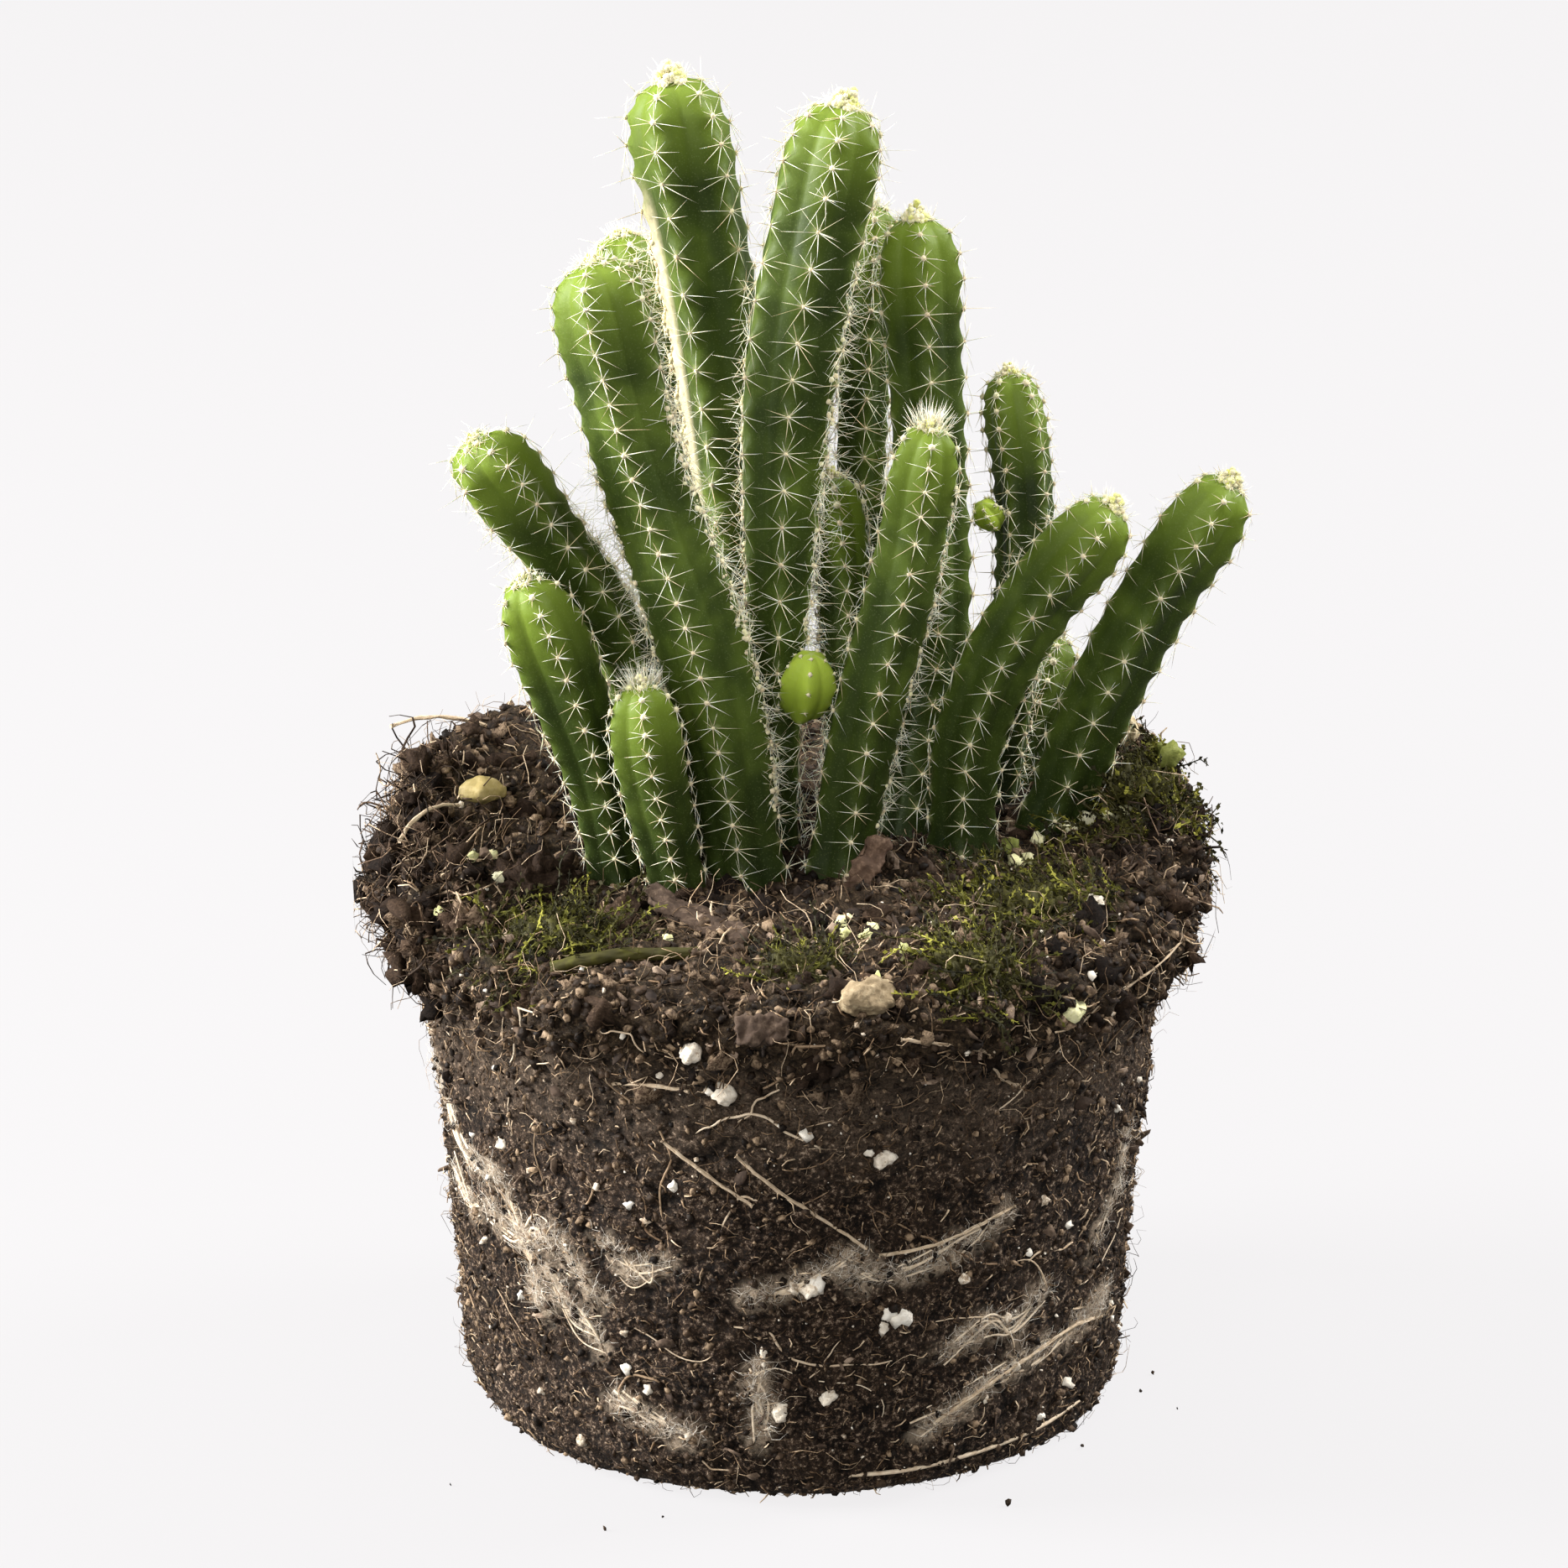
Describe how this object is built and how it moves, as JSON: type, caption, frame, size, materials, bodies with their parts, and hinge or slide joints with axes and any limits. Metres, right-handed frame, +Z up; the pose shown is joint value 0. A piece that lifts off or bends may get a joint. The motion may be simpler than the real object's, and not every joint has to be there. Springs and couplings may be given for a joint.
{
  "type": "cactus clump with root ball",
  "caption": "Clump of ribbed column cacti standing in a pot-shaped root ball of mossy soil, lifted out of its pot.",
  "frame": {"origin": "centre of the root ball's flat underside", "axes": "+Z up, the way the stems grow; -Y is the front, which the small bud faces; +X is to the right seen from the front"},
  "size_m": [0.1227, 0.1192, 0.1891],
  "materials": {
    "soil": "crumbly peat potting soil, dark brown with tan fibres, matt",
    "stem_skin": "smooth waxy cactus skin, mid green, yellower at the tips and darker at the foot",
    "bud_skin": "young yellow-green cactus skin, satin",
    "perlite": "chalky off-white expanded perlite, some algae-green",
    "pebble": "rough tan pebble with a little moss",
    "bark": "weathered bark and twig, matt brown",
    "root": "pale tan dry root",
    "moss": "soft olive green moss",
    "dry_bud": "pale papery dried bud",
    "spine": "fine cream needle spines, satin",
    "wool": "cream felted wool pads at the spine clusters and tips",
    "root_hair": "pale root hairs matted on the soil"
  },
  "bodies": {
    "root": {"stem_tall_left": "stem_skin", "stem_tall_centre": "stem_skin", "stem_head_left": "stem_skin", "stem_back_left": "stem_skin", "stem_right_tuft": "stem_skin", "stem_right_tall": "stem_skin", "stem_back_slim": "stem_skin", "stem_inner_short": "stem_skin", "stem_right_small": "stem_skin", "stem_right_bent": "stem_skin", "stem_right_far": "stem_skin", "stem_left_far": "stem_skin", "stem_left_low": "stem_skin", "stem_front_small": "stem_skin", "stem_back_right": "stem_skin", "bud_front": "bud_skin", "bud_right_small": "bud_skin", "perlite_collar_left": "perlite", "perlite_collar_front": "perlite", "perlite_collar_right": "perlite", "perlite_top_front": "perlite", "perlite_top_middle": "perlite", "perlite_top_right": "perlite", "perlite_by_stem": "perlite", "perlite_wall_low_left": "perlite", "perlite_wall_low_right": "perlite", "perlite_wall_high": "perlite", "perlite_wall_middle": "perlite", "pebble": "pebble", "peat_lump": "soil", "dried_bud": "dry_bud", "tan_chunk": "bark", "moss_cushion_right": "moss", "moss_patch_left": "moss", "moss_patch_centre": "moss", "moss_patch_middle": "moss", "moss_patch_far": "moss", "bark_strip": "bark", "bark_chip": "bark", "curled_leaf": "bark", "twig_mossy": "bark", "twig_right": "bark", "root_far_left": "root", "root_left": "root", "root_collar_left": "root", "root_collar_right": "root", "root_shoulder_right": "root", "root_wall_left": "root", "root_wall_middle": "root", "root_wall_right": "root", "root_wall_low": "root", "root_ball": "soil"}
  },
  "joints": []
}
